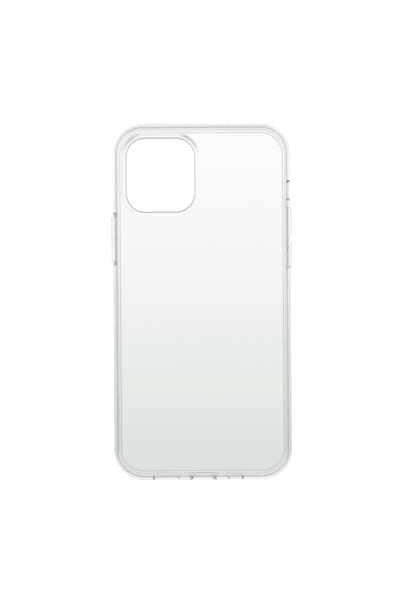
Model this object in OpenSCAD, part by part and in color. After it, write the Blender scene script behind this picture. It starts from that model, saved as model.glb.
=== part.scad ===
// Clear slim phone case: a hard flat back plate held in a soft bumper frame, a raised guard
// round the camera window, and sprung pads over the phone's side buttons.
// The case stands on its bottom edge. +Z is up, the back faces -Y and the open front faces +Y.
// Seen from behind, +X is on the right and the single side button is on the left.
//
// The modules draw the case lying on its open front, as seen from behind: x is across,
// y is up the case from its middle, and z is the distance from the front rim.
// stand() then lifts each piece onto the bottom edge.

/* [Phone] */
// Width of the phone that the case holds
phone_w = 71.5; // [70:0.1:74]
// Height of the phone that the case holds
phone_h = 146.7; // [144:0.1:152]
// Thickness of the phone that the case holds
phone_t = 7.4; // [7:0.1:9]
// Gap between the phone and the bumper, on each side
fit_gap = 0.1; // [0.05:0.05:0.3]

/* [Bumper] */
// Thickness of the bumper's side walls
wall_t = 1.7; // [1.6:0.1:2.4]
// Corner radius of the phone pocket
pocket_r = 11; // [10.5:0.1:12]
// Height of the rim that stands in front of the screen
lip_t = 1.2; // [0.8:0.1:1.6]
// How far that rim reaches over the screen
lip_over = 1.2; // [0.8:0.1:1.5]
// Rounding of that rim's inner edge
lip_round = 0.4; // [0.2:0.1:0.6]
// Rounding of the long edge round the back
back_round = 1.5; // [1:0.1:1.6]
// Rounding of the long edge round the front
front_round = 0.7; // [0.4:0.1:1]

/* [Back plate] */
// Thickness of the back plate
plate_t = 1.4; // [1.2:0.1:2]
// Thickness of the tongue round the plate, which the bumper is moulded over
tongue_t = 0.5; // [0.4:0.1:0.6]
// How far the tongue reaches into the bumper
tongue_out = 0.6; // [0.4:0.1:0.7]

/* [Camera window] */
// Width of the camera window
window_w = 28.3; // [26:0.1:30]
// Height of the camera window
window_h = 30.6; // [28:0.1:32]
// Corner radius of the camera window
window_r = 7.7; // [7:0.1:8.5]
// Window centre, measured across from the middle of the case
window_x = -17.2; // [-17.2:0.1:-16.5]
// Window centre, measured down from the top of the case
window_down = 21.7; // [21.7:0.1:23]
// How far the guard stands out of the back
guard_rise = 0.9; // [0.5:0.1:1.2]
// Width of the guard's rim
guard_rim = 2.5; // [1.4:0.1:2.6]
// Depth of the rebate in the plate that the rim sits in
guard_sunk = 0.4; // [0.3:0.1:0.6]
// Thickness of the guard's sleeve, which lines the plate's hole
sleeve_t = 0.6; // [0.4:0.1:0.8]

/* [Buttons] */
// Length of the side button's pad
side_pad_l = 19; // [16:0.5:21]
// Height of the side button's centre above the bottom of the case
side_pad_up = 101.9; // [95:0.1:105]
// Length of each volume button's pad
volume_pad_l = 11.5; // [9:0.5:12]
// Height of the volume-up button's centre
volume_up_up = 108.7; // [108.2:0.1:109]
// Height of the volume-down button's centre
volume_down_up = 94.7; // [94:0.1:95]
// Width of every pad, through the depth of the case
pad_w = 3.6; // [3:0.1:4]
// How far every pad stands out of the wall
pad_rise = 0.9; // [0.6:0.1:1.2]
// Width of the flexible web that shows round each pad
web_margin = 0.5; // [0.45:0.05:0.6]
// Depth of the channel in the inner face of the wall, behind the webs
channel_depth = 0.95; // [0.8:0.05:1]
// Radius of the two relief grooves at the ends of the side button's channel
relief_r = 0.85; // [0.6:0.05:0.9]

/* [Openings] */
// Length of the opening over the ring switch
switch_l = 8.5; // [8:0.1:9]
// Height of the centre of the ring switch opening
switch_up = 122.1; // [121.5:0.1:124]
// Width of the ring switch opening, through the depth of the case
switch_w = 4.6; // [4.2:0.1:5]
// Length of the charging port opening
port_l = 11.4; // [10:0.1:12]
// Width of the charging port opening, through the depth of the case
port_w = 5.6; // [5:0.1:6]
// Length of the loudspeaker slot
speaker_l = 11.3; // [9:0.1:12]
// Centre of the loudspeaker slot
speaker_x = -15.6; // [-16.5:0.1:-15]
// Length of the microphone slot
mic_l = 6.8; // [5:0.1:8]
// Centre of the microphone slot
mic_x = 13.7; // [13:0.1:16]
// Width of the loudspeaker and microphone slots
sound_w = 3; // [2:0.1:3.4]

/* [Hidden] */
$fn = 72;

soft_clear = [0.86, 0.91, 0.91, 0.5];
hard_clear = [0.90, 0.95, 0.94, 0.5];

// How far a cutting shape runs past the surface that it cuts
past = 1;
// Gap between two pieces that are moulded against each other
bond = 0.02;

pocket_w = phone_w + 2 * fit_gap;
pocket_h = phone_h + 2 * fit_gap;
pocket_t = phone_t + fit_gap;
case_w = pocket_w + 2 * wall_t;
case_h = pocket_h + 2 * wall_t;
case_t = lip_t + pocket_t + plate_t;
case_r = pocket_r + wall_t;
total_t = case_t + guard_rise;
window_y = case_h / 2 - window_down;
// Distance from the front rim to the middle of the phone's side
side_z = lip_t + pocket_t / 2;

// Rounding of small outer edges
edge_round = 0.45;
tongue_z = case_t - (plate_t + tongue_t) / 2;

// Sizes of the moving pads and of what surrounds them
pad_r = 1.3;
pad_lift = 0.05;
stem_short = 4;
stem_w = 1.6;
stem_r = 0.5;
stem_inner = 0.4;
web_outer = wall_t - 0.05;
web_w = pad_w + 2 * web_margin;
web_r = pad_r + web_margin;
channel_w = web_w + 0.6;
side_web_l = side_pad_l + 2 * web_margin;
volume_mid_up = (volume_up_up + volume_down_up) / 2;
volume_span = volume_up_up - volume_down_up;
volume_web_l = volume_span + volume_pad_l + 2 * web_margin;
relief_x = 0.6;
relief_y = side_pad_l / 2 + 0.7;
// How much further down the slanted end of the volume channel reaches at its floor
channel_slant = 1.5;

// ---- shapes shared by the pieces ----

// Stands a piece on its bottom edge, with the frame's origin under the middle of the case
module stand() {
    translate([0, total_t / 2, case_h / 2]) rotate([90, 0, 0]) children();
}

// Rectangle with round corners, centred
module rounded_rect(w, h, r) {
    square([w - 2 * r, h], center = true);
    square([w, h - 2 * r], center = true);
    for (x = [-1, 1], y = [-1, 1])
        translate([x * (w / 2 - r), y * (h / 2 - r)]) circle(r);
}

// Flat slab with round corners, t thick, lying on z = 0
module slab(w, h, r, t) {
    linear_extrude(t) rounded_rect(w, h, r);
}

// Carries a section round a rounded rectangle of size w by h and corner radius r.
// The section's x is its distance from the corner's centre, so the rectangle lies at x = r.
module carry_round(w, h, r) {
    for (quarter = [0:3]) {
        across = quarter % 2 == 0 ? w - 2 * r : h - 2 * r;
        along = quarter % 2 == 0 ? h - 2 * r : w - 2 * r;
        rotate(90 * quarter) translate([across / 2, 0, 0]) {
            rotate([90, 0, 0]) linear_extrude(along, center = true) children();
            translate([0, along / 2, 0]) rotate_extrude(angle = 90) children();
        }
    }
}

// What rounding takes off an edge at [x, z]: the corner outside a quarter circle.
// up is 1 for a top edge and -1 for a bottom edge, and out is -1 for an edge round a hole.
module edge_waste(x, z, r, up, out = 1) {
    translate([x - out * r, z - up * r])
        mirror([out < 0 ? 1 : 0, 0]) mirror([0, up < 0 ? 1 : 0]) difference() {
            square(r + past);
            circle(r);
        }
}

// Slab with the outline of the phone pocket, grown by a margin on every side
module pocket_slab(margin, t) {
    slab(pocket_w + 2 * margin, pocket_h + 2 * margin, pocket_r + margin, t);
}

// Slab with the outline of the camera window, grown by a margin on every side
module window_slab(margin, t) {
    slab(window_w + 2 * margin, window_h + 2 * margin, window_r + margin, t);
}

// Slab whose upper outer edge is rounded
module pillow(w, h, r, t, edge) {
    difference() {
        slab(w, h, r, t);
        carry_round(w, h, r) edge_waste(r, t, edge, 1);
    }
}

// Places a shape on a side wall: side is 1 for the right and -1 for the left, up is the height
// above the bottom of the case. The shape's z runs outwards from the inner face of the wall,
// its y runs up the case, and its x runs through the depth.
module at_side(side, up) {
    translate([side * pocket_w / 2, up - case_h / 2, side_z])
        mirror([side < 0 ? 1 : 0, 0, 0]) rotate([0, 90, 0]) children();
}

// Places a shape on the bottom wall at x, with its z running outwards from the inner face
module at_bottom(x) {
    translate([x, -pocket_h / 2, side_z]) rotate([90, 0, 0]) children();
}

// ---- bumper frame ----

// Hole right through a wall
module wall_hole(l, w, r) {
    translate([0, 0, -past]) slab(w, l, r, wall_t + 2 * past);
}

module bottom_hole(l, w) {
    translate([0, 0, -past]) slab(l, w, w / 2 - 0.2, wall_t + 2 * past);
}

// Window, inner channel and relief grooves that free the side button's web
module side_button_space() {
    translate([0, 0, channel_depth - past]) slab(web_w, side_web_l, web_r, wall_t + past);
    translate([-channel_w / 2, -relief_y, -past]) cube([channel_w, 2 * relief_y, past + channel_depth]);
    for (end = [-1, 1])
        translate([0, end * relief_y, relief_x]) rotate([0, 90, 0])
            cylinder(r = relief_r, h = channel_w, center = true);
}

// The same for the two volume buttons, whose channel has a slanted lower end
module volume_button_space() {
    top = volume_web_l / 2;
    bottom = -volume_web_l / 2;
    translate([0, 0, channel_depth - past]) slab(web_w, volume_web_l, web_r, wall_t + past);
    translate([channel_w / 2, 0, 0]) rotate([0, -90, 0]) linear_extrude(channel_w)
        polygon([
            [-past, bottom + channel_slant],
            [0, bottom + channel_slant],
            [channel_depth, bottom],
            [channel_depth, top],
            [-past, top]
        ]);
}

module bumper_frame() {
    color(soft_clear) stand() difference() {
        slab(case_w, case_h, case_r, case_t);
        carry_round(case_w, case_h, case_r) {
            edge_waste(case_r, case_t, back_round, 1);
            edge_waste(case_r, 0, front_round, -1);
        }
        translate([0, 0, lip_t]) pocket_slab(0, case_t);
        translate([0, 0, -past]) pocket_slab(-lip_over, lip_t + 2 * past);
        carry_round(pocket_w - 2 * lip_over, pocket_h - 2 * lip_over, pocket_r - lip_over)
            edge_waste(pocket_r - lip_over, 0, lip_round, -1, -1);
        translate([0, 0, tongue_z - bond]) pocket_slab(tongue_out + bond, tongue_t + 2 * bond);
        at_side(-1, side_pad_up) side_button_space();
        at_side(1, volume_mid_up) volume_button_space();
        at_side(1, switch_up) wall_hole(switch_l, switch_w, pad_r);
        at_bottom(0) bottom_hole(port_l, port_w);
        at_bottom(speaker_x) bottom_hole(speaker_l, sound_w);
        at_bottom(mic_x) bottom_hole(mic_l, sound_w);
    }
}

// ---- back plate and camera guard ----

module back_plate() {
    color(hard_clear) stand() difference() {
        union() {
            translate([0, 0, case_t - plate_t]) pocket_slab(-bond, plate_t);
            translate([0, 0, tongue_z]) pocket_slab(tongue_out, tongue_t);
        }
        translate([window_x, window_y, 0]) {
            window_slab(sleeve_t + bond, total_t);
            translate([0, 0, case_t - guard_sunk]) window_slab(guard_rim + bond, total_t);
        }
    }
}

module camera_guard() {
    color(soft_clear) stand() translate([window_x, window_y, 0]) difference() {
        union() {
            translate([0, 0, case_t - plate_t]) window_slab(sleeve_t, plate_t);
            translate([0, 0, case_t - guard_sunk + bond])
                window_slab(guard_rim, guard_sunk + guard_rise - bond);
        }
        window_slab(0, total_t + past);
        carry_round(window_w + 2 * guard_rim, window_h + 2 * guard_rim, window_r + guard_rim)
            edge_waste(window_r + guard_rim, total_t, edge_round, 1);
        carry_round(window_w, window_h, window_r)
            edge_waste(window_r, total_t, edge_round, 1, -1);
    }
}

// ---- buttons and their webs ----

// Pad outside the wall, on a stem that goes through the web to the phone's own button
module button(l) {
    translate([0, 0, stem_inner])
        slab(stem_w, l - stem_short, stem_r, wall_t - stem_inner + 2 * pad_lift);
    translate([0, 0, wall_t + pad_lift])
        pillow(pad_w, l, pad_r, pad_rise - pad_lift, edge_round);
}

// Slot in a web that fits round a button's stem
module stem_slot(l) {
    slab(stem_w + 2 * bond, l - stem_short + 2 * bond, stem_r + bond, wall_t + past);
}

// Thin sheet that fills a button window and lets its button travel
module web_sheet(l) {
    translate([0, 0, channel_depth])
        slab(web_w - 2 * bond, l - 2 * bond, web_r - bond, web_outer - channel_depth);
}

module side_button() {
    color(soft_clear) stand() at_side(-1, side_pad_up) button(side_pad_l);
}

module side_button_web() {
    color(soft_clear) stand() at_side(-1, side_pad_up) difference() {
        web_sheet(side_web_l);
        stem_slot(side_pad_l);
    }
}

module volume_up_button() {
    color(soft_clear) stand() at_side(1, volume_up_up) button(volume_pad_l);
}

module volume_down_button() {
    color(soft_clear) stand() at_side(1, volume_down_up) button(volume_pad_l);
}

module volume_button_web() {
    color(soft_clear) stand() at_side(1, volume_mid_up) difference() {
        web_sheet(volume_web_l);
        for (end = [-1, 1])
            translate([0, end * volume_span / 2, 0]) stem_slot(volume_pad_l);
    }
}

bumper_frame();
back_plate();
camera_guard();
side_button();
side_button_web();
volume_up_button();
volume_down_button();
volume_button_web();
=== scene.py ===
"""Looks of the clear phone case: shells with real fillets, clear moulded plastic and a white studio.

Shapes are drawn as in the CAD source, lying on the open front and seen from behind, in millimetres:
x is across, y is up the case from its middle and z is the distance from the front rim. place() stands
them up in the shared frame. On a wall, a is across the wall, b along it and u outwards from its inner face.
"""

import math
from functools import partial

import bmesh
import bpy
import numpy as np
from mathutils import Matrix, Vector


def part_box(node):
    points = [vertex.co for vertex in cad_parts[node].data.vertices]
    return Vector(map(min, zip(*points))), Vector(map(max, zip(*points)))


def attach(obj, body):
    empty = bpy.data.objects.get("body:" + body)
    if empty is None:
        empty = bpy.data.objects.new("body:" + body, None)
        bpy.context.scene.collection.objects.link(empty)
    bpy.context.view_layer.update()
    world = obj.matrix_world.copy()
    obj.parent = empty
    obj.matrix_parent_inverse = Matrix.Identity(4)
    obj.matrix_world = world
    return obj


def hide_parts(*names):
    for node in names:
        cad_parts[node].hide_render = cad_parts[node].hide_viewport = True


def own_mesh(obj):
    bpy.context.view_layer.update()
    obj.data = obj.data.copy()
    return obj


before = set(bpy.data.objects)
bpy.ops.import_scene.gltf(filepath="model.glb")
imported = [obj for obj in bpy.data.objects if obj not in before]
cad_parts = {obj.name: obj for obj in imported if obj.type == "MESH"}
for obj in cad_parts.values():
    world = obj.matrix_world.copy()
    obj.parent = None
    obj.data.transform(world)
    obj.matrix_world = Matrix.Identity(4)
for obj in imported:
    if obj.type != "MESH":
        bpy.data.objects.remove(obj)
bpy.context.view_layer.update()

# ---- sizes, read from the CAD nodes, in millimetres ----

MM = 0.001


def measured(node):
    """A CAD node's lowest and highest corner in millimetres."""
    lo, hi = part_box(node)
    return lo / MM, hi / MM


BUMPER_LO, BUMPER_HI = measured("bumper_frame")
PLATE_LO, PLATE_HI = measured("back_plate")
GUARD_LO, GUARD_HI = measured("camera_guard")
CASE_W = BUMPER_HI.x - BUMPER_LO.x
CASE_H = BUMPER_HI.z - BUMPER_LO.z
CASE_T = BUMPER_HI.y - BUMPER_LO.y
FRONT_Y = BUMPER_HI.y
MID_Z = (BUMPER_LO.z + BUMPER_HI.z) / 2
PLATE_IN = FRONT_Y - PLATE_HI.y
GUARD_TOP = FRONT_Y - GUARD_LO.y
WINDOW_X = (GUARD_LO.x + GUARD_HI.x) / 2
WINDOW_Y = (GUARD_LO.z + GUARD_HI.z) / 2 - MID_Z

# Sizes that no CAD box gives, as in the CAD source
WALL = 1.7
POCKET_R = 11.0
LIP_T = 1.2
LIP_OVER = 1.2
FRONT_R = 0.7
SHOULDER_R = 1.5
GUARD_RIM = 2.5
GUARD_SUNK = 0.4
GUARD_SLEEVE = 0.6
WINDOW_R = 7.7
TONGUE_T = 0.5
TONGUE_OUT = 0.6
TONGUE_LOW = (PLATE_IN + CASE_T - TONGUE_T) / 2
TONGUE_HIGH = TONGUE_LOW + TONGUE_T
POCKET_W = CASE_W - 2 * WALL
POCKET_H = CASE_H - 2 * WALL
WINDOW_W = GUARD_HI.x - GUARD_LO.x - 2 * GUARD_RIM
WINDOW_H = GUARD_HI.z - GUARD_LO.z - 2 * GUARD_RIM
SIDE_Z = LIP_T + (PLATE_IN - LIP_T) / 2
CHANNEL_DEPTH = 0.95
CHANNEL_W = 5.2
CHANNEL_SLANT = 1.5
PAD_R = 1.3
STEM_W = 1.6
STEM_SHORT = 4.0
STEM_INNER = 0.4
WEB_MARGIN = 0.5
SWITCH = {"up": 122.1, "length": 8.5, "width": 4.6, "r": 1.3}
SLOTS = [
    {"x": 0.0, "length": 11.4, "width": 5.6},
    {"x": -15.6, "length": 11.3, "width": 3.0},
    {"x": 13.7, "length": 6.8, "width": 3.0},
]

# Sizes of this script's own
LIP_R = 0.58  # the CAD's lip is less round
PLATE_EDGE_R = 0.12
BEAD = 0.2  # radius of the hollow fillet between the plate and the wall
LIP_CORNER = 0.3
JOINT_OUT = 0.45  # how far out the tongue's faces still dim the light
WEB_OUTER = 1.45  # the webs lie a little deeper in the wall than in the CAD
WEB_EDGE_R = 0.2
# Rounding of an opening's outer and inner edge
SWITCH_ROUNDS = (0.35, 0.2)
SLOT_ROUNDS = (0.3, 0.15)
# (growth, u) along the rounded mouth of a channel
CHANNEL_MOUTH = [(0.5, -0.4), (0.12, -0.02), (0.03, 0.05), (0.0, 0.14)]
# The relief grooves are a little larger than in the CAD and nearer the pad, as in the photograph
RELIEF_R = 1.0
RELIEF_EDGE_R = 0.15
RELIEF_U = 0.55
RELIEF_PAST_PAD = 0.6

# What a face is: clear outside, bonded to the next piece, dark painted shade along an edge, fainter painted
# shade along a line or on the tongue.
# Each is a place in the piece's list of materials.
CLEAR, BONDED, SHADED_EDGE, FAINT_SHADE, JOINT = 0, 1, 2, 3, 4
# Room between two bonded pieces, so that no two faces lie in one plane
GAP = 0.01
# A rounded edge is cut by this much of a quarter turn, and from there the cutter flares straight out
ROUND_TO = math.radians(78)
FLARE = 0.6

# ---- shapes ----


def place(points):
    """Stands points from the lying millimetre frame up in the shared frame, in metres."""
    p = np.asarray(points, float)
    return np.stack(
        [p[:, 0] * MM, (FRONT_Y - p[:, 2]) * MM, (p[:, 1] + MID_Z) * MM], axis=1
    )


def outline(w, h, r, centre=(0.0, 0.0), arcs=20):
    """Points anticlockwise round a rectangle with round corners. r is one radius, or one per corner from
    the top right."""
    radii = [r] * 4 if np.isscalar(r) else list(r)
    points = []
    for i, (sx, sy) in enumerate([(1, 1), (-1, 1), (-1, -1), (1, -1)]):
        cx = centre[0] + sx * (w / 2 - radii[i])
        cy = centre[1] + sy * (h / 2 - radii[i])
        for k in range(arcs + 1):
            turn = math.pi / 2 * (i + k / arcs)
            points.append(
                (cx + radii[i] * math.cos(turn), cy + radii[i] * math.sin(turn))
            )
    return np.array(points)


def rounded_path(corners, closed=True, steps=7):
    """A section's points and the tag of the band after each. A corner is (across, up, radius, tag of
    the edge after it)."""
    points, tags = [], []
    count = len(corners)
    for i, (s, t, r, tag) in enumerate(corners):
        at = np.array((s, t), float)
        if r == 0 or (not closed and i in (0, count - 1)):
            points.append(at)
            tags.append(tag)
            continue
        a = np.array(corners[i - 1][:2], float) - at
        b = np.array(corners[(i + 1) % count][:2], float) - at
        a /= np.linalg.norm(a)
        b /= np.linalg.norm(b)
        half = math.acos(float(np.clip(a @ b, -1, 1))) / 2
        middle = (a + b) / np.linalg.norm(a + b)
        centre = at + middle * r / math.sin(half)
        start = at + a * r / math.tan(half) - centre
        end = at + b * r / math.tan(half) - centre
        sweep = math.pi - 2 * half
        for k in range(steps + 1):
            f = k / steps
            v = math.sin((1 - f) * sweep) * start + math.sin(f * sweep) * end
            points.append(centre + v / math.sin(sweep))
            tags.append(CLEAR if k < steps else tag)
    return points, tags


def loft(name, rings, tags, closed=False):
    """A mesh object through rings of equal length. tags says what each band of faces is. Open ends
    are capped."""
    bm = bmesh.new()
    rows = [[bm.verts.new(p) for p in place(ring)] for ring in rings]
    count = len(rows[0])
    for i in range(len(rows) if closed else len(rows) - 1):
        low, high = rows[i], rows[(i + 1) % len(rows)]
        for k in range(count):
            n = (k + 1) % count
            face = bm.faces.new((low[k], low[n], high[n], high[k]))
            face.material_index = tags[i]
    if not closed:
        bm.faces.new(list(reversed(rows[0])))
        bm.faces.new(rows[-1])
    bmesh.ops.remove_doubles(bm, verts=bm.verts, dist=1e-7)
    bmesh.ops.dissolve_degenerate(bm, edges=bm.edges, dist=1e-7)
    bmesh.ops.recalc_face_normals(bm, faces=bm.faces)
    mesh = bpy.data.meshes.new(name)
    bm.to_mesh(mesh)
    bm.free()
    obj = bpy.data.objects.new(name, mesh)
    bpy.context.scene.collection.objects.link(obj)
    return obj


def flat_ring(points, z):
    """An outline at height z."""
    return np.column_stack([points, np.full(len(points), z)])


def pocket_ring(u, z):
    """The phone pocket's outline grown by u, at height z."""
    return flat_ring(outline(POCKET_W + 2 * u, POCKET_H + 2 * u, POCKET_R + u), z)


def window_ring(v, z):
    """The camera window's outline grown by v, at height z."""
    shape = outline(
        WINDOW_W + 2 * v, WINDOW_H + 2 * v, WINDOW_R + v, (WINDOW_X, WINDOW_Y)
    )
    return flat_ring(shape, z)


def side_ring(side, up, shape, u):
    """Points (a, b) of a shape on a side wall, at u. side is 1 for the right and -1 for the left."""
    a, b = shape[:, 0], shape[:, 1]
    x = np.full(len(a), side * (POCKET_W / 2 + u))
    return np.column_stack([x, b + up - CASE_H / 2, SIDE_Z + a])


def bottom_ring(x, shape, u):
    """Points of a shape on the bottom wall, at u."""
    a, b = shape[:, 0], shape[:, 1]
    y = np.full(len(a), -(POCKET_H / 2 + u))
    return np.column_stack([a + x, y, SIDE_Z + b])


def edge_round(r, count):
    """(growth, depth under the surface) along the rounding of a cut edge, from the hole outwards."""
    turns = [ROUND_TO * k / count for k in range(count + 1)]
    return [(r * (1 - math.cos(turn)), r * (1 - math.sin(turn))) for turn in turns]


def hole_steps(outer_r, inner_r):
    """(growth, u) of a cutter that goes right through a wall and rounds the hole's edges."""
    path = list(reversed(edge_round(inner_r, 6)))
    path += [(grow, WALL - deep) for grow, deep in edge_round(outer_r, 6)]
    (first_grow, first_u), (last_grow, last_u) = path[0], path[-1]
    flared = FLARE * math.tan(ROUND_TO)
    return [
        (first_grow + flared, first_u - FLARE),
        *path,
        (last_grow + flared, last_u + FLARE),
    ]


def cut(obj, *cutters):
    """Takes the cutters out of obj and deletes them."""
    for cutter in cutters:
        m = obj.modifiers.new("cut", "BOOLEAN")
        m.operation = "DIFFERENCE"
        m.solver = "EXACT"
        m.object = cutter
    graph = bpy.context.evaluated_depsgraph_get()
    mesh = bpy.data.meshes.new_from_object(obj.evaluated_get(graph))
    obj.modifiers.clear()
    obj.data = mesh
    for cutter in cutters:
        bpy.data.objects.remove(cutter)
    return obj


def finish_piece(obj, materials, body, slot, *nodes):
    """Smooths the fillets but not the flats, and hands the piece over to its CAD body."""
    mesh = obj.data
    mesh.name = obj.name
    tags = [polygon.material_index for polygon in mesh.polygons]
    mesh.materials.clear()
    for material in materials:
        mesh.materials.append(material)
    for polygon, tag in zip(mesh.polygons, tags):
        polygon.use_smooth = True
        polygon.material_index = tag
    mesh.set_sharp_from_angle(angle=math.radians(35))
    weighted = obj.modifiers.new("flats", "WEIGHTED_NORMAL")
    weighted.weight = 100
    weighted.keep_sharp = True
    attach(obj, body)
    if nodes:
        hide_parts(*nodes)
    return obj


# ---- materials ----


class Nodes:
    """Short names for making and linking shader nodes."""

    def __init__(self, tree):
        self.tree = tree
        tree.nodes.clear()

    def add(self, kind, links=(), **values):
        node = self.tree.nodes.new(kind)
        for key, value in values.items():
            setattr(node, key, value)
        for socket, value in dict(links).items():
            target = node.inputs[socket]
            if isinstance(value, bpy.types.NodeSocket):
                self.tree.links.new(value, target)
            else:
                target.default_value = value
        return node


def clear_plastic(name, tint, ior=1.5, rough=(0.01, 0.035), grain=0.2, wave=0.015):
    """Clear moulded plastic: a faint flow ripple, fine satin grain and a tint that drifts a little."""
    material = bpy.data.materials.new(name)
    material.use_nodes = True
    n = Nodes(material.node_tree)
    where = n.add("ShaderNodeTexCoord").outputs["Object"]
    drift = n.add("ShaderNodeTexNoise", {"Vector": where, "Scale": 30.0, "Detail": 2.0})
    tints = n.add("ShaderNodeMix", {"Factor": drift.outputs["Fac"]}, data_type="RGBA")
    low = [c * 0.985 for c in tint]
    tints.inputs["A"].default_value = (*low, 1)
    tints.inputs["B"].default_value = (*tint, 1)
    haze = n.add(
        "ShaderNodeTexNoise", {"Vector": where, "Scale": 260.0, "Detail": 5.0}
    )
    satin = n.add(
        "ShaderNodeMapRange",
        {"Value": haze.outputs["Fac"], "From Min": 0.35, "From Max": 0.75},
    )
    satin.inputs["To Min"].default_value, satin.inputs["To Max"].default_value = rough
    flow = n.add("ShaderNodeTexNoise", {"Vector": where, "Scale": 90.0, "Detail": 1.0})
    ripple = n.add(
        "ShaderNodeBump",
        {"Height": flow.outputs["Fac"], "Strength": 0.3, "Distance": wave * MM},
    )
    fine = n.add(
        "ShaderNodeTexNoise", {"Vector": where, "Scale": 4000.0, "Detail": 2.0}
    )
    bump = n.add(
        "ShaderNodeBump",
        {
            "Height": fine.outputs["Fac"],
            "Strength": grain,
            "Distance": 0.002 * MM,
            "Normal": ripple.outputs["Normal"],
        },
    )
    glass = n.add(
        "ShaderNodeBsdfPrincipled",
        {
            "Base Color": tints.outputs["Result"],
            "Roughness": satin.outputs["Result"],
            "IOR": ior,
            "Transmission Weight": 1.0,
            "Normal": bump.outputs["Normal"],
        },
    )
    through = n.add(
        "ShaderNodeBsdfTransparent", {"Color": (*[math.sqrt(c) for c in tint], 1)}
    )
    path = n.add("ShaderNodeLightPath")
    mix = n.add("ShaderNodeMixShader", {"Fac": path.outputs["Is Shadow Ray"]})
    n.tree.links.new(glass.outputs["BSDF"], mix.inputs[1])
    n.tree.links.new(through.outputs["BSDF"], mix.inputs[2])
    n.add("ShaderNodeOutputMaterial", {"Surface": mix.outputs["Shader"]})
    return material


def bonded_face(name, passes):
    """A face between two pieces moulded together, which lets that share of the light straight on."""
    material = bpy.data.materials.new(name)
    material.use_nodes = True
    n = Nodes(material.node_tree)
    clear = n.add("ShaderNodeBsdfTransparent", {"Color": (passes, passes, passes, 1)})
    n.add("ShaderNodeOutputMaterial", {"Surface": clear.outputs["BSDF"]})
    return material


GLOSSY = (0.002, 0.01)
SOFT_TINT = (0.993, 0.993, 0.992)
SOFT = clear_plastic("clear_soft", SOFT_TINT, rough=GLOSSY, grain=0.02, wave=0.01)
HARD = clear_plastic("clear_hard", (0.965, 0.975, 0.97), grain=0.2, wave=0.01)
GUARD = clear_plastic("clear_guard", SOFT_TINT, rough=GLOSSY, grain=0.02, wave=0.01)
BUTTON = clear_plastic("clear_button", (0.93, 0.935, 0.93), rough=(0.03, 0.07))
WEB = clear_plastic("clear_web", (0.95, 0.955, 0.95), rough=(0.03, 0.06))
BOND = bonded_face("bonded_face", 1.0)
# Darker tints that paint shade onto edges and grooves, standing in for the dark lines that refraction draws
# there; the second is a fainter painted shade.
PAINTED_EDGE_SHADE = clear_plastic("clear_rim_painted_shade", (0.5, 0.505, 0.5), rough=GLOSSY, grain=0.02)
PAINTED_FAINT_SHADE = clear_plastic("clear_faint_painted_shade", (0.72, 0.725, 0.72), rough=GLOSSY, grain=0.02)
TONGUE_FACE = bonded_face("tongue_face", 0.89)
# What follows a piece's own plastic in its list, in the order of BONDED, SHADED_EDGE, FAINT_SHADE and JOINT
FACES = [BOND, PAINTED_EDGE_SHADE, PAINTED_FAINT_SHADE, TONGUE_FACE]

# ---- bumper frame ----

section, section_tags = rounded_path(
    [
        (-LIP_OVER, 0, LIP_R, CLEAR),
        (WALL, 0, FRONT_R, CLEAR),
        (WALL, CASE_T, SHOULDER_R, CLEAR),
        (0, CASE_T, PLATE_EDGE_R, BONDED),
        (0, TONGUE_HIGH, 0, JOINT),
        (JOINT_OUT, TONGUE_HIGH, 0, BONDED),
        (TONGUE_OUT, TONGUE_HIGH, 0, BONDED),
        (TONGUE_OUT, TONGUE_LOW, 0, BONDED),
        (JOINT_OUT, TONGUE_LOW, 0, JOINT),
        (0, TONGUE_LOW, 0, BONDED),
        (0, PLATE_IN, 0, BONDED),
        (-BEAD, PLATE_IN, 0, CLEAR),
        (0, PLATE_IN - BEAD, 0, CLEAR),
        (0, LIP_T, LIP_CORNER, CLEAR),
        (-LIP_OVER, LIP_T, LIP_R, CLEAR),
    ]
)


def with_bead(points, tags):
    """Turns the straight slope between the plate and the wall into a hollow fillet."""
    at = next(
        i
        for i, p in enumerate(points)
        if np.allclose(p, (-BEAD, PLATE_IN)) and tags[i] == CLEAR
    )
    corner = np.array((-BEAD, PLATE_IN - BEAD))
    turns = [math.pi / 2 * k / 8 for k in range(1, 8)]
    arc = [corner + BEAD * np.array((math.sin(turn), math.cos(turn))) for turn in turns]
    at += 1
    return points[:at] + arc + points[at:], tags[:at] + [CLEAR] * len(arc) + tags[at:]


section, section_tags = with_bead(section, section_tags)


def in_band(points, i, low, high, z_low, z_high):
    """Whether the band after point i of a closed section lies within a rectangle of the section."""
    ends = np.array([points[i], points[(i + 1) % len(points)]])
    return (
        ends[:, 0].min() > low
        and ends[:, 0].max() < high
        and ends[:, 1].min() > z_low
        and ends[:, 1].max() < z_high
    )


# The lip's edge and the bead are dark in the photograph, and the corner behind the lip is a faint line.
# Each band is its least and greatest distance across, then its least and greatest height.
# Faces in these bands get painted shade: the dark tint on the lip's edge and the bead, the fainter one in
# the corner behind the lip.
PAINTED_SHADE_BANDS = [
    (-LIP_OVER - 1, -LIP_OVER + 0.4, -1, CASE_T),
    (-BEAD - GAP, GAP, PLATE_IN - BEAD - GAP, PLATE_IN + GAP),
]
FAINT_SHADE_BAND = (-LIP_CORNER - GAP, GAP, LIP_T - GAP, LIP_T + LIP_CORNER + GAP)
for i, tag in enumerate(section_tags):
    if tag == CLEAR and any(in_band(section, i, *band) for band in PAINTED_SHADE_BANDS):
        section_tags[i] = SHADED_EDGE
    if tag == CLEAR and in_band(section, i, *FAINT_SHADE_BAND):
        section_tags[i] = FAINT_SHADE
bumper = loft(
    "bumper_shell", [pocket_ring(u, z) for u, z in section], section_tags, closed=True
)


def pad_facts(node):
    """(height of its centre above the bottom, length, width, outer u) of a pad, from its CAD node."""
    lo, hi = measured(node)
    reach = max(abs(lo.x), abs(hi.x)) - POCKET_W / 2
    return (lo.z + hi.z) / 2, hi.z - lo.z, hi.y - lo.y, reach


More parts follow.
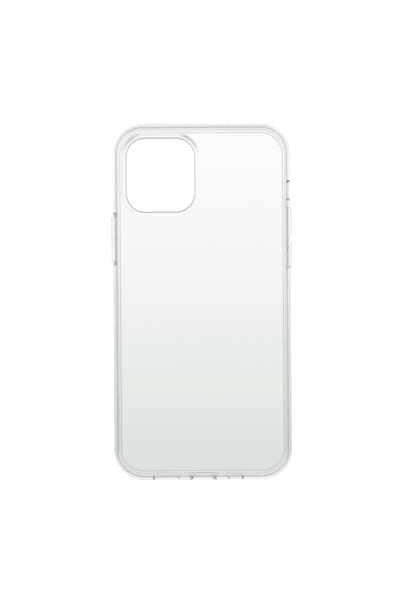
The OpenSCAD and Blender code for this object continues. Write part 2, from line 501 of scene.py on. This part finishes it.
SIDE_UP, SIDE_L, PAD_W, PAD_OUT = pad_facts("side_button")
UP_UP, VOLUME_L, _, _ = pad_facts("volume_up_button")
DOWN_UP, _, _, _ = pad_facts("volume_down_button")
VOLUME_MID = (UP_UP + DOWN_UP) / 2
SIDE_WEB_L = SIDE_L + 2 * WEB_MARGIN
VOLUME_WEB_L = UP_UP - DOWN_UP + VOLUME_L + 2 * WEB_MARGIN
WEB_W = PAD_W + 2 * WEB_MARGIN
WEB_R = PAD_R + WEB_MARGIN


def window_cutter(name, side, up, length):
    """Cuts the window that a web fills, from the channel's floor out through the wall."""
    steps = [(0, CHANNEL_DEPTH - 0.3, BONDED), (0, WEB_OUTER, CLEAR)]
    steps += [(grow, WALL - deep, CLEAR) for grow, deep in edge_round(WEB_EDGE_R, 5)]
    grow, u, _ = steps[-1]
    steps.append((grow + FLARE * math.tan(ROUND_TO), u + FLARE, CLEAR))
    rings = [
        side_ring(side, up, outline(WEB_W + 2 * g, length + 2 * g, WEB_R + g), at)
        for g, at, _ in steps
    ]
    return loft(name, rings, [t for _, _, t in steps])


def channel_cutter(name, side, up, low, high, slant):
    """Cuts the channel behind a web. slant is how much less far down it reaches at the inner face."""
    rings = []
    for grow, u in CHANNEL_MOUTH + [(0.0, RELIEF_U), (0.0, CHANNEL_DEPTH)]:
        foot = low + slant * (1 - u / CHANNEL_DEPTH)
        shape = outline(
            CHANNEL_W + 2 * grow,
            high - foot + 2 * grow,
            0.35 + grow,
            (0.0, (high + foot) / 2),
            arcs=8,
        )
        rings.append(side_ring(side, up, shape, u))
    # The channel's rounded mouth gets the fainter painted shade.
    return loft(name, rings, [FAINT_SHADE] * len(CHANNEL_MOUTH) + [CLEAR] * 2)


def relief_cutter(name, side, up, b):
    """Cuts a round relief groove across the wall, at the end of the channel."""
    turns = np.linspace(0, 2 * math.pi, 41)[:-1]
    rings = []
    path = [(-CHANNEL_W / 2, 0.02)]
    for k in range(6):
        turn = math.pi / 2 * k / 5
        a = -CHANNEL_W / 2 + RELIEF_EDGE_R * (1 - math.cos(turn))
        path.append((a, RELIEF_R - RELIEF_EDGE_R * (1 - math.sin(turn))))
    for a, r in path + [(-a, r) for a, r in reversed(path)]:
        x = side * (POCKET_W / 2 + RELIEF_U + r * np.cos(turns))
        y = up - CASE_H / 2 + b + r * np.sin(turns)
        rings.append(np.column_stack([x, y, np.full(len(turns), SIDE_Z + a)]))
    # The groove's faces get the dark painted shade.
    return loft(name, rings, [SHADED_EDGE] * len(rings))


def hole_cutter(name, ring_at, rounds):
    """Cuts a hole through a wall. ring_at(growth, u) gives its outline. rounds is the radius of its
    outer and of its inner edge."""
    rings = [ring_at(grow, u) for grow, u in hole_steps(*rounds)]
    return loft(name, rings, [CLEAR] * len(rings))


def switch_ring(grow, u):
    """The ring-switch opening's outline grown by that much, at u."""
    shape = outline(
        SWITCH["width"] + 2 * grow, SWITCH["length"] + 2 * grow, SWITCH["r"] + grow, arcs=10
    )
    return side_ring(1, SWITCH["up"], shape, u)


def slot_ring(slot, grow, u):
    """A bottom opening's outline grown by that much, at u."""
    w, h = slot["length"] + 2 * grow, slot["width"] + 2 * grow
    return bottom_ring(slot["x"], outline(w, h, slot["width"] / 2 - 0.2 + grow, arcs=10), u)


cutters = [
    channel_cutter("cut_side", -1, SIDE_UP, -SIDE_L / 2 - 0.1, SIDE_L / 2 + 0.1, 0.0),
    window_cutter("cut_side_web", -1, SIDE_UP, SIDE_WEB_L),
    relief_cutter("cut_relief_low", -1, SIDE_UP, -SIDE_L / 2 - RELIEF_PAST_PAD),
    relief_cutter("cut_relief_high", -1, SIDE_UP, SIDE_L / 2 + RELIEF_PAST_PAD),
    channel_cutter(
        "cut_volume",
        1,
        VOLUME_MID,
        -VOLUME_WEB_L / 2,
        VOLUME_WEB_L / 2,
        CHANNEL_SLANT,
    ),
    window_cutter("cut_volume_web", 1, VOLUME_MID, VOLUME_WEB_L),
    hole_cutter("cut_switch", switch_ring, SWITCH_ROUNDS),
]
for i, slot in enumerate(SLOTS):
    cutters.append(hole_cutter(f"cut_slot_{i}", partial(slot_ring, slot), SLOT_ROUNDS))
cut(bumper, *cutters)
finish_piece(bumper, [SOFT, *FACES], "case", "clear_soft", "bumper_frame")

# ---- back plate ----

PLATE_EDGE_MID = PLATE_EDGE_R * (1 - math.sqrt(0.5))
plate = loft(
    "back_plate_sheet",
    [
        pocket_ring(-BEAD, PLATE_IN),
        pocket_ring(-GAP, PLATE_IN),
        pocket_ring(-GAP, TONGUE_LOW + GAP),
        pocket_ring(JOINT_OUT, TONGUE_LOW + GAP),
        pocket_ring(TONGUE_OUT - GAP, TONGUE_LOW + GAP),
        pocket_ring(TONGUE_OUT - GAP, TONGUE_HIGH - GAP),
        pocket_ring(JOINT_OUT, TONGUE_HIGH - GAP),
        pocket_ring(-GAP, TONGUE_HIGH - GAP),
        pocket_ring(-GAP, CASE_T - PLATE_EDGE_R),
        pocket_ring(-GAP - PLATE_EDGE_MID, CASE_T - PLATE_EDGE_MID),
        pocket_ring(-GAP - PLATE_EDGE_R, CASE_T),
    ],
    [BONDED, BONDED, JOINT, BONDED, BONDED, BONDED, JOINT, BONDED, CLEAR, CLEAR],
)
cut(
    plate,
    loft(
        "cut_window",
        [
            window_ring(GUARD_SLEEVE, PLATE_IN - 1),
            window_ring(GUARD_SLEEVE, CASE_T - GUARD_SUNK),
            window_ring(GUARD_RIM, CASE_T - GUARD_SUNK),
            window_ring(GUARD_RIM, CASE_T + 1),
        ],
        [BONDED] * 3,
    ),
)
finish_piece(plate, [HARD, *FACES], "case", "clear_hard", "back_plate")

# ---- camera guard ----

GUARD_EDGE_R = 0.6
CROWN_W = 1.05
SLOPE_BLEND = 0.15  # share of the slope that rounds it off into the flat crown
SLOPE_STEPS = 16


def slope_left(f):
    """The share of the guard's rise that is left a share f of the way down its outer slope."""
    steepness = 1 / (1 - SLOPE_BLEND / 2)
    if f < SLOPE_BLEND:
        return 1 - steepness * f * f / (2 * SLOPE_BLEND)
    return steepness * (1 - f)


guard_section, guard_tags = rounded_path(
    [
        (GUARD_SLEEVE - GAP, PLATE_IN, 0, CLEAR),
        (0, PLATE_IN, 0.3, CLEAR),
        (0, GUARD_TOP, GUARD_EDGE_R, CLEAR),
        (CROWN_W, GUARD_TOP, 0, CLEAR),
    ],
    closed=False,
)
rise = GUARD_TOP - CASE_T
for k in range(1, SLOPE_STEPS + 1):
    across = CROWN_W + (GUARD_RIM - GAP - CROWN_W) * k / SLOPE_STEPS
    guard_section.append((across, CASE_T + rise * slope_left(k / SLOPE_STEPS)))
    guard_tags.append(CLEAR)
guard_section += [
    (GUARD_RIM - GAP, CASE_T - GUARD_SUNK + GAP),
    (GUARD_SLEEVE - GAP, CASE_T - GUARD_SUNK + GAP),
]
guard_tags[-1] = BONDED
guard_tags += [BONDED, BONDED]
# The window's inner faces and rounded top edge get the dark painted shade.
for i, tag in enumerate(guard_tags):
    if tag == CLEAR and in_band(guard_section, i, -1, GUARD_EDGE_R + 0.02, 0, GUARD_TOP + 1):
        guard_tags[i] = SHADED_EDGE
guard = loft(
    "camera_guard_ring",
    [window_ring(v, z) for v, z in guard_section],
    guard_tags,
    closed=True,
)
finish_piece(guard, [GUARD, *FACES], "case", "clear_guard", "camera_guard")

# ---- buttons and webs ----


def pad(name, side, up, length, body, node):
    """A pillow-shaped pad on the stem that reaches through its web."""
    stem_l = length - STEM_SHORT
    stem = outline(STEM_W, stem_l, 0.5, arcs=8)
    stem_end = outline(STEM_W - 0.3, stem_l - 0.3, 0.35, arcs=8)
    # How far the pad's outline has shrunk at each u, from the web to the middle of its face
    rounding, _ = rounded_path(
        [
            (0.0, WEB_OUTER, 0, CLEAR),
            (0.0, PAD_OUT - 0.06, 0.5, CLEAR),
            (0.8, PAD_OUT - 0.02, 0, CLEAR),
        ],
        closed=False,
    )
    pillow = [(0.0, WEB_OUTER + GAP), *rounding[1:], (1.2, PAD_OUT)]
    rings = [
        side_ring(side, up, stem_end, STEM_INNER),
        side_ring(side, up, stem, STEM_INNER + 0.15),
        side_ring(side, up, stem, CHANNEL_DEPTH),
        side_ring(side, up, stem, WEB_OUTER + GAP),
    ]
    tags = [CLEAR, CLEAR, BONDED, BONDED]
    for shrink, u in pillow:
        shape = outline(
            PAD_W - 2 * shrink,
            length - 2 * shrink,
            max(PAD_R - shrink, 0.1),
            arcs=8,
        )
        rings.append(side_ring(side, up, shape, u))
        tags.append(CLEAR)
    return finish_piece(
        loft(name, rings, tags), [BUTTON, BOND], body, "clear_button", node
    )


def web(name, side, up, length, radii, pad_up, pad_l):
    """The thin sheet round one stem; on the real case it sinks with its pad, here it is fixed to the case.
    """
    width = WEB_W - 2 * GAP
    edge = outline(width, length, radii, arcs=8)
    shift = pad_up - up
    dent = outline(PAD_W + 0.1, pad_l + 0.1, PAD_R, (0.0, shift), arcs=8)
    stem = outline(
        STEM_W + 2 * GAP, pad_l - STEM_SHORT + 2 * GAP, 0.5, (0.0, shift), arcs=8
    )
    rings = [
        side_ring(side, up, edge, CHANNEL_DEPTH),
        side_ring(side, up, edge, WEB_OUTER),
        side_ring(side, up, dent, WEB_OUTER),
        side_ring(side, up, stem, WEB_OUTER),
        side_ring(side, up, stem, CHANNEL_DEPTH),
    ]
    obj = loft(name, rings, [BONDED, CLEAR, BONDED, BONDED, CLEAR], closed=True)
    finish_piece(obj, [WEB, BOND], "case", "clear_web")
    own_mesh(obj)
    return obj


pad("side_button_pad", -1, SIDE_UP, SIDE_L, "side_button", "side_button")
pad("volume_up_pad", 1, UP_UP, VOLUME_L, "volume_up", "volume_up_button")
pad("volume_down_pad", 1, DOWN_UP, VOLUME_L, "volume_down", "volume_down_button")
side_web = web(
    "side_web",
    -1,
    SIDE_UP,
    SIDE_WEB_L - 2 * GAP,
    WEB_R,
    SIDE_UP,
    SIDE_L,
)
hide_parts("side_button_web")
HALF_L = VOLUME_WEB_L / 2 - GAP
upper_web = web(
    "volume_web_upper",
    1,
    VOLUME_MID + HALF_L / 2,
    HALF_L,
    (WEB_R, WEB_R, 0.05, 0.05),
    UP_UP,
    VOLUME_L,
)
lower_web = web(
    "volume_web_lower",
    1,
    VOLUME_MID - HALF_L / 2,
    HALF_L,
    (0.05, 0.05, WEB_R, WEB_R),
    DOWN_UP,
    VOLUME_L,
)
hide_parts("volume_button_web")
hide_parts("volume_button_web")

# ---- studio ----

FLOOR_R = 4.0
WHITE = 1.1  # what the camera sees of the wall behind
FLOOR_GLOW = 0.9
FLOOR_ALBEDO = 0.25
# Tone of the wall behind, seen through the case or reflected in it, by the sine of its height over
# the horizon. The camera itself sees plain white.
BACKDROP = [
    (-0.2, (0.93, 0.935, 0.935)),
    (-0.16, (0.720, 0.744, 0.741)),
    (-0.117, (0.770, 0.792, 0.778)),
    (-0.0685, (0.830, 0.862, 0.830)),
    (-0.036, (0.860, 0.880, 0.865)),
    (-0.0115, (0.902, 0.907, 0.905)),
    (0.021, (0.937, 0.939, 0.939)),
    (0.069, (0.967, 0.967, 0.967)),
    (0.119, (1.0, 1.0, 1.0)),
]
LOWEST_TONE = (0.96, 0.965, 0.965)
LOW, HIGH = -0.3, 0.2
# Darkness of the grey cards in each sector: low down, level with the eye and high up
RIGHT_CARD = (0.2, 0.15, 0.08)
LEFT_CARD = (0.18, 0.2, 0.05)
OVERHEAD_DARKNESS = 0.8
LOW_LIGHT = 0.5

bpy.ops.mesh.primitive_circle_add(
    vertices=96, radius=FLOOR_R, fill_type="NGON", location=(0, 0, 0)
)
floor = bpy.context.object
floor.name = "floor"
# Light that has been refracted or reflected by the case meets the wall behind instead of the floor
floor.visible_transmission = False
floor.visible_glossy = False
floor_material = bpy.data.materials.new("floor_white")
floor_material.use_nodes = True
n = Nodes(floor_material.node_tree)
glow = n.add("ShaderNodeEmission", {"Color": (1, 1, 1, 1), "Strength": FLOOR_GLOW})
matt = n.add("ShaderNodeBsdfDiffuse", {"Color": (*[FLOOR_ALBEDO] * 3, 1)})
both = n.add("ShaderNodeAddShader", {0: glow.outputs[0], 1: matt.outputs[0]})
n.add("ShaderNodeOutputMaterial", {"Surface": both.outputs[0]})
floor.data.materials.append(floor_material)

world = bpy.data.worlds.new("studio")
bpy.context.scene.world = world
world.use_nodes = True
studio = Nodes(world.node_tree)


def maths(operation, *values):
    return studio.add(
        "ShaderNodeMath", dict(enumerate(values)), operation=operation
    ).outputs[0]


def ranged(value, low, high, to_low, to_high, smooth=False):
    return studio.add(
        "ShaderNodeMapRange",
        {
            "Value": value,
            "From Min": low,
            "From Max": high,
            "To Min": to_low,
            "To Max": to_high,
        },
        interpolation_type="SMOOTHSTEP" if smooth else "LINEAR",
    ).outputs[0]


ray = studio.add("ShaderNodeTexCoord").outputs["Generated"]
axes = studio.add("ShaderNodeSeparateXYZ", {"Vector": ray})
up = axes.outputs["Z"]
bearing = maths("ARCTAN2", axes.outputs["X"], axes.outputs["Y"])
# Eight alike sectors, so that the cards flank the case in views from every side
eighth = maths("ADD", maths("DIVIDE", bearing, math.pi / 4), 0.5)
turned = maths("SUBTRACT", maths("FRACT", eighth), 0.5)
side = maths("MULTIPLY", turned, 45.0)


def card(sign, dark):
    """The light left by a grey card to one side of a sector's middle. dark is its darkness by height."""
    beside = maths("MULTIPLY", side, float(sign))
    inner = ranged(beside, 5.5, 8.5, 0.0, 1.0, smooth=True)
    outer = ranged(beside, 15.5, 18.5, 1.0, 0.0, smooth=True)
    low, level_dark, high = dark
    lower = ranged(up, -0.09, -0.03, low, level_dark, smooth=True)
    depth = ranged(up, 0.0, 0.04, lower, high, smooth=True)
    taken = maths("MULTIPLY", maths("MULTIPLY", inner, outer), depth)
    return maths("SUBTRACT", 1.0, taken)


cards = maths("MULTIPLY", card(1, RIGHT_CARD), card(-1, LEFT_CARD))
below = ranged(up, -0.75, -0.6, LOW_LIGHT, 1.0, smooth=True)
overhead = ranged(up, 0.8, 0.9, 0.0, OVERHEAD_DARKNESS, smooth=True)
backdrop = studio.add("ShaderNodeValToRGB", {"Fac": ranged(up, LOW, HIGH, 0.0, 1.0)})
ramp = backdrop.color_ramp
ramp.elements[0].color = (*LOWEST_TONE, 1)
ramp.elements[1].color = (1, 1, 1, 1)
for height, tone in BACKDROP:
    ramp.elements.new((height - LOW) / (HIGH - LOW)).color = (*tone, 1)
level = maths("SUBTRACT", maths("MULTIPLY", cards, below), overhead)
camera_ray = studio.add("ShaderNodeLightPath").outputs["Is Camera Ray"]
tone = studio.add(
    "ShaderNodeMix",
    {0: camera_ray, 6: backdrop.outputs["Color"], 7: (1, 1, 1, 1)},
    data_type="RGBA",
)
strength = ranged(camera_ray, 0.0, 1.0, level, WHITE)
sky = studio.add("ShaderNodeBackground", {"Color": tone.outputs[2], "Strength": strength})
studio.add("ShaderNodeOutputWorld", {"Surface": sky.outputs["Background"]})

# ---- camera, at the photograph's viewing angle ----

CAMERA_AWAY = 0.52
CAMERA_TURN = math.radians(-0.3)
CAMERA_ROLL = math.radians(-0.4)
VIEW_HEIGHT = 0.255
AIM = Vector((-0.0009, 0.0, MID_Z * MM + 0.00075))

camera_data = bpy.data.cameras.new("camera")
camera_data.sensor_width = 36
camera_data.lens = 36 * CAMERA_AWAY / VIEW_HEIGHT
camera = bpy.data.objects.new("camera", camera_data)
bpy.context.scene.collection.objects.link(camera)
back = Vector((math.sin(CAMERA_TURN), -math.cos(CAMERA_TURN), 0.0))
camera.rotation_mode = "QUATERNION"
camera.location = AIM + back * CAMERA_AWAY
camera.rotation_quaternion = (-back).to_track_quat("-Z", "Y") @ Matrix.Rotation(
    CAMERA_ROLL, 3, "Z"
).to_quaternion()
camera_data.clip_start = 0.01
bpy.context.scene.camera = camera

scene = bpy.context.scene
scene.view_settings.view_transform = "Standard"
scene.cycles.max_bounces = 32
scene.cycles.glossy_bounces = 24
scene.cycles.transmission_bounces = 32
scene.cycles.transparent_max_bounces = 24
scene.cycles.use_denoising = True
